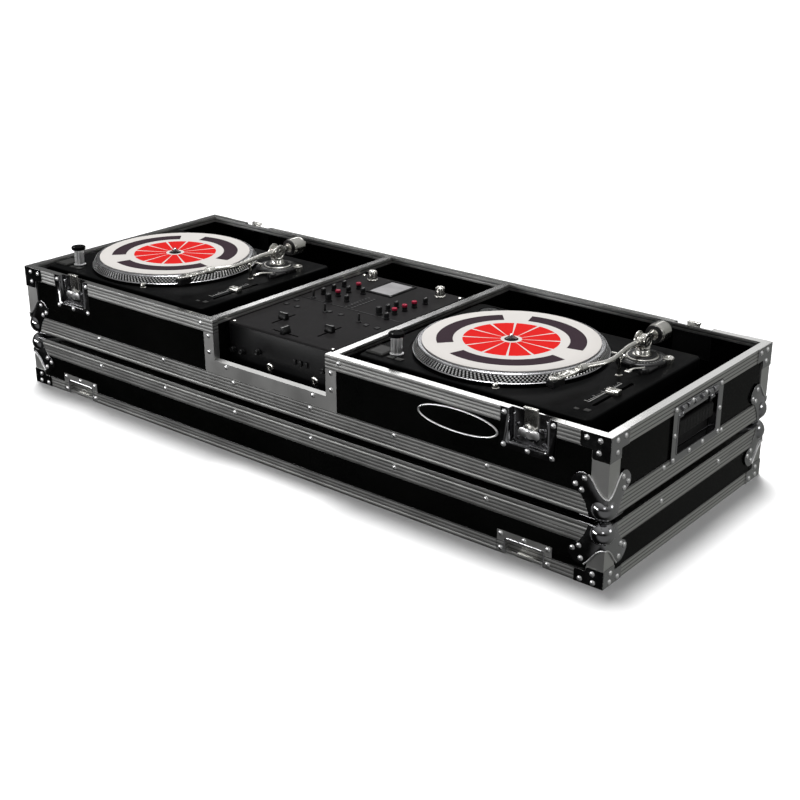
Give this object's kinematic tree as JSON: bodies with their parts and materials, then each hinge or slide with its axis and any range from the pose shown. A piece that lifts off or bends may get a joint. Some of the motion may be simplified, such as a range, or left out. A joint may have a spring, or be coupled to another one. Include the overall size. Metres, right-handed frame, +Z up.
{
  "type": "dj coffin case",
  "caption": "Flight case for two turntables and a mixer, open on its own upturned lid, with the decks and mixer in their foam lined bays.",
  "frame": {"origin": "middle of the lid's footprint on the floor", "axes": "+X along the case to the right, +Y to the back, +Z up; the mixer's notch is in the front, at -Y"},
  "size_m": [1.378, 0.5368, 0.2985],
  "materials": {
    "black_laminate": "smooth black laminate on plywood",
    "ribbed_edging": "satin, ribbed extrusion",
    "plated_steel": "bright plated pressing",
    "foam_liner": "soft black foam liner",
    "black_rubber": "matt",
    "deck_black": "dark satin paint on a hollow cabinet",
    "turned_aluminium": "turned and dotted rim",
    "printed_felt": "printed felt",
    "satin_metal": "satin plated",
    "black_plastic": "matt black",
    "mixer_grey": "dark satin paint on a hollow housing"
  },
  "bodies": {
    "lid": {"lid_top_panel": "black_laminate", "lid_wall_frame": "black_laminate", "lid_top_edging": "ribbed_edging", "lid_rim_edging": "ribbed_edging", "lid_ball_corner_front_left": "plated_steel", "lid_ball_corner_front_right": "plated_steel", "lid_ball_corner_back_left": "plated_steel", "lid_ball_corner_back_right": "plated_steel"},
    "tray": {"tray_floor": "black_laminate", "tray_front_panel": "black_laminate", "tray_back_panel": "black_laminate", "tray_left_panel": "black_laminate", "tray_right_panel": "black_laminate", "divider_left": "black_laminate", "divider_right": "black_laminate", "tray_foam": "foam_liner", "tray_base_edging": "ribbed_edging", "tray_rim_edging": "ribbed_edging", "tray_ball_corner_front_left": "plated_steel", "tray_ball_corner_front_right": "plated_steel", "tray_ball_corner_back_left": "plated_steel", "tray_ball_corner_back_right": "plated_steel", "latch_dish_front_left": "plated_steel", "latch_dish_front_right": "plated_steel", "latch_dish_back_left": "plated_steel", "latch_dish_back_right": "plated_steel", "handle_dish_left": "plated_steel", "handle_dish_right": "plated_steel"},
    "latch_key_front_left": {"latch_key_front_left": "plated_steel"},
    "latch_hook_front_left": {"latch_hook_front_left": "plated_steel"},
    "latch_key_front_right": {"latch_key_front_right": "plated_steel"},
    "latch_hook_front_right": {"latch_hook_front_right": "plated_steel"},
    "latch_key_back_left": {"latch_key_back_left": "plated_steel"},
    "latch_hook_back_left": {"latch_hook_back_left": "plated_steel"},
    "latch_key_back_right": {"latch_key_back_right": "plated_steel"},
    "latch_hook_back_right": {"latch_hook_back_right": "plated_steel"},
    "handle_grip_left": {"handle_grip_left": "black_rubber"},
    "handle_grip_right": {"handle_grip_right": "black_rubber"},
    "left_turntable": {"left_plinth": "deck_black"},
    "left_platter": {"left_platter": "turned_aluminium", "left_slipmat": "printed_felt"},
    "left_gimbal": {"left_gimbal": "satin_metal"},
    "left_tonearm": {"left_tonearm": "satin_metal"},
    "left_start_button": {"left_start_button": "satin_metal"},
    "left_pitch_slider": {"left_pitch_slider": "satin_metal"},
    "right_turntable": {"right_plinth": "deck_black"},
    "right_platter": {"right_platter": "turned_aluminium", "right_slipmat": "printed_felt"},
    "right_gimbal": {"right_gimbal": "satin_metal"},
    "right_tonearm": {"right_tonearm": "satin_metal"},
    "right_start_button": {"right_start_button": "satin_metal"},
    "right_pitch_slider": {"right_pitch_slider": "satin_metal"},
    "mixer": {"mixer_body": "mixer_grey"},
    "crossfader": {"crossfader": "black_plastic"},
    "line_fader_left": {"line_fader_left": "black_plastic"},
    "level_knob_left": {"level_knob_left": "satin_metal"},
    "eq_knob_left": {"eq_knob_left": "black_plastic"},
    "line_fader_right": {"line_fader_right": "black_plastic"},
    "level_knob_right": {"level_knob_right": "satin_metal"},
    "eq_knob_right": {"eq_knob_right": "black_plastic"}
  },
  "joints": [
    {"name": "tray_lift", "type": "slide", "parent": "lid", "child": "tray", "axis": [0, 0, 1], "range_m": [0, 0.15]},
    {"name": "latch_turn_front_left", "type": "hinge", "parent": "tray", "child": "latch_key_front_left", "pos_m": [-0.538, -0.256, 0.214], "axis": [0, -1, 0], "range_deg": [0, 180]},
    {"name": "latch_hook_slide_front_left", "type": "slide", "parent": "tray", "child": "latch_hook_front_left", "axis": [0, 0, 1], "range_m": [-0.0101, 0]},
    {"name": "latch_turn_front_right", "type": "hinge", "parent": "tray", "child": "latch_key_front_right", "pos_m": [0.538, -0.256, 0.214], "axis": [0, -1, 0], "range_deg": [0, 180]},
    {"name": "latch_hook_slide_front_right", "type": "slide", "parent": "tray", "child": "latch_hook_front_right", "axis": [0, 0, 1], "range_m": [-0.0101, 0]},
    {"name": "latch_turn_back_left", "type": "hinge", "parent": "tray", "child": "latch_key_back_left", "pos_m": [-0.538, 0.256, 0.214], "axis": [0, 1, 0], "range_deg": [0, 180]},
    {"name": "latch_hook_slide_back_left", "type": "slide", "parent": "tray", "child": "latch_hook_back_left", "axis": [0, 0, 1], "range_m": [-0.0101, 0]},
    {"name": "latch_turn_back_right", "type": "hinge", "parent": "tray", "child": "latch_key_back_right", "pos_m": [0.538, 0.256, 0.214], "axis": [0, 1, 0], "range_deg": [0, 180]},
    {"name": "latch_hook_slide_back_right", "type": "slide", "parent": "tray", "child": "latch_hook_back_right", "axis": [0, 0, 1], "range_m": [-0.0101, 0]},
    {"name": "handle_swing_left", "type": "hinge", "parent": "tray", "child": "handle_grip_left", "pos_m": [-0.6747, 0.005, 0.2123], "axis": [0, 1, 0], "range_deg": [0, 85], "stiffness_Nm_per_rad": 0.3},
    {"name": "handle_swing_right", "type": "hinge", "parent": "tray", "child": "handle_grip_right", "pos_m": [0.6747, 0.005, 0.2123], "axis": [0, -1, 0], "range_deg": [0, 85], "stiffness_Nm_per_rad": 0.3},
    {"name": "left_turntable_lift", "type": "slide", "parent": "tray", "child": "left_turntable", "axis": [0, 0, 1], "range_m": [0, 0.16]},
    {"name": "left_platter_spin", "type": "hinge", "parent": "left_turntable", "child": "left_platter", "pos_m": [-0.4733, -0.0455, 0.25], "axis": [0, 0, 1], "continuous": true},
    {"name": "left_tonearm_swing", "type": "hinge", "parent": "left_turntable", "child": "left_gimbal", "pos_m": [-0.2773, 0.0485, 0.2815], "axis": [0, 0, 1], "range_deg": [-45, 0]},
    {"name": "left_tonearm_lift", "type": "hinge", "parent": "left_gimbal", "child": "left_tonearm", "pos_m": [-0.2773, 0.0485, 0.2815], "axis": [-1, 0, 0], "range_deg": [0, 6]},
    {"name": "left_start_press", "type": "slide", "parent": "left_turntable", "child": "left_start_button", "axis": [0, 0, -1], "range_m": [0, 0.002], "stiffness_N_per_m": 2000},
    {"name": "left_pitch_slide", "type": "slide", "parent": "left_turntable", "child": "left_pitch_slider", "axis": [0, 1, 0], "range_m": [-0.05, 0.05]},
    {"name": "right_turntable_lift", "type": "slide", "parent": "tray", "child": "right_turntable", "axis": [0, 0, 1], "range_m": [0, 0.16]},
    {"name": "right_platter_spin", "type": "hinge", "parent": "right_turntable", "child": "right_platter", "pos_m": [0.3559, -0.0455, 0.25], "axis": [0, 0, 1], "continuous": true},
    {"name": "right_tonearm_swing", "type": "hinge", "parent": "right_turntable", "child": "right_gimbal", "pos_m": [0.5519, 0.0485, 0.2815], "axis": [0, 0, 1], "range_deg": [-45, 0]},
    {"name": "right_tonearm_lift", "type": "hinge", "parent": "right_gimbal", "child": "right_tonearm", "pos_m": [0.5519, 0.0485, 0.2815], "axis": [-1, 0, 0], "range_deg": [0, 6]},
    {"name": "right_start_press", "type": "slide", "parent": "right_turntable", "child": "right_start_button", "axis": [0, 0, -1], "range_m": [0, 0.002], "stiffness_N_per_m": 2000},
    {"name": "right_pitch_slide", "type": "slide", "parent": "right_turntable", "child": "right_pitch_slider", "axis": [0, 1, 0], "range_m": [-0.05, 0.05]},
    {"name": "mixer_lift", "type": "slide", "parent": "tray", "child": "mixer", "axis": [0, 0, 1], "range_m": [0, 0.16]},
    {"name": "crossfader_slide", "type": "slide", "parent": "mixer", "child": "crossfader", "axis": [1, 0, 0], "range_m": [-0.026, 0.026]},
    {"name": "line_fader_slide_left", "type": "slide", "parent": "mixer", "child": "line_fader_left", "axis": [0, 1, 0], "range_m": [-0.026, 0.026]},
    {"name": "level_turn_left", "type": "hinge", "parent": "mixer", "child": "level_knob_left", "pos_m": [-0.10115, 0.134, 0.24], "axis": [0, 0, -1], "range_deg": [-135, 135]},
    {"name": "eq_turn_left", "type": "hinge", "parent": "mixer", "child": "eq_knob_left", "pos_m": [-0.07915, -0.02, 0.24], "axis": [0, 0, -1], "range_deg": [-135, 135]},
    {"name": "line_fader_slide_right", "type": "slide", "parent": "mixer", "child": "line_fader_right", "axis": [0, 1, 0], "range_m": [-0.026, 0.026]},
    {"name": "level_turn_right", "type": "hinge", "parent": "mixer", "child": "level_knob_right", "pos_m": [0.06685, 0.134, 0.24], "axis": [0, 0, -1], "range_deg": [-135, 135]},
    {"name": "eq_turn_right", "type": "hinge", "parent": "mixer", "child": "eq_knob_right", "pos_m": [0.04485, -0.02, 0.24], "axis": [0, 0, -1], "range_deg": [-135, 135]}
  ],
  "couplings": [
    {"joint": "latch_hook_slide_front_left", "follows": "latch_turn_front_left", "m_per_rad": -0.0031831},
    {"joint": "latch_hook_slide_front_right", "follows": "latch_turn_front_right", "m_per_rad": -0.0031831},
    {"joint": "latch_hook_slide_back_left", "follows": "latch_turn_back_left", "m_per_rad": -0.0031831},
    {"joint": "latch_hook_slide_back_right", "follows": "latch_turn_back_right", "m_per_rad": -0.0031831}
  ]
}
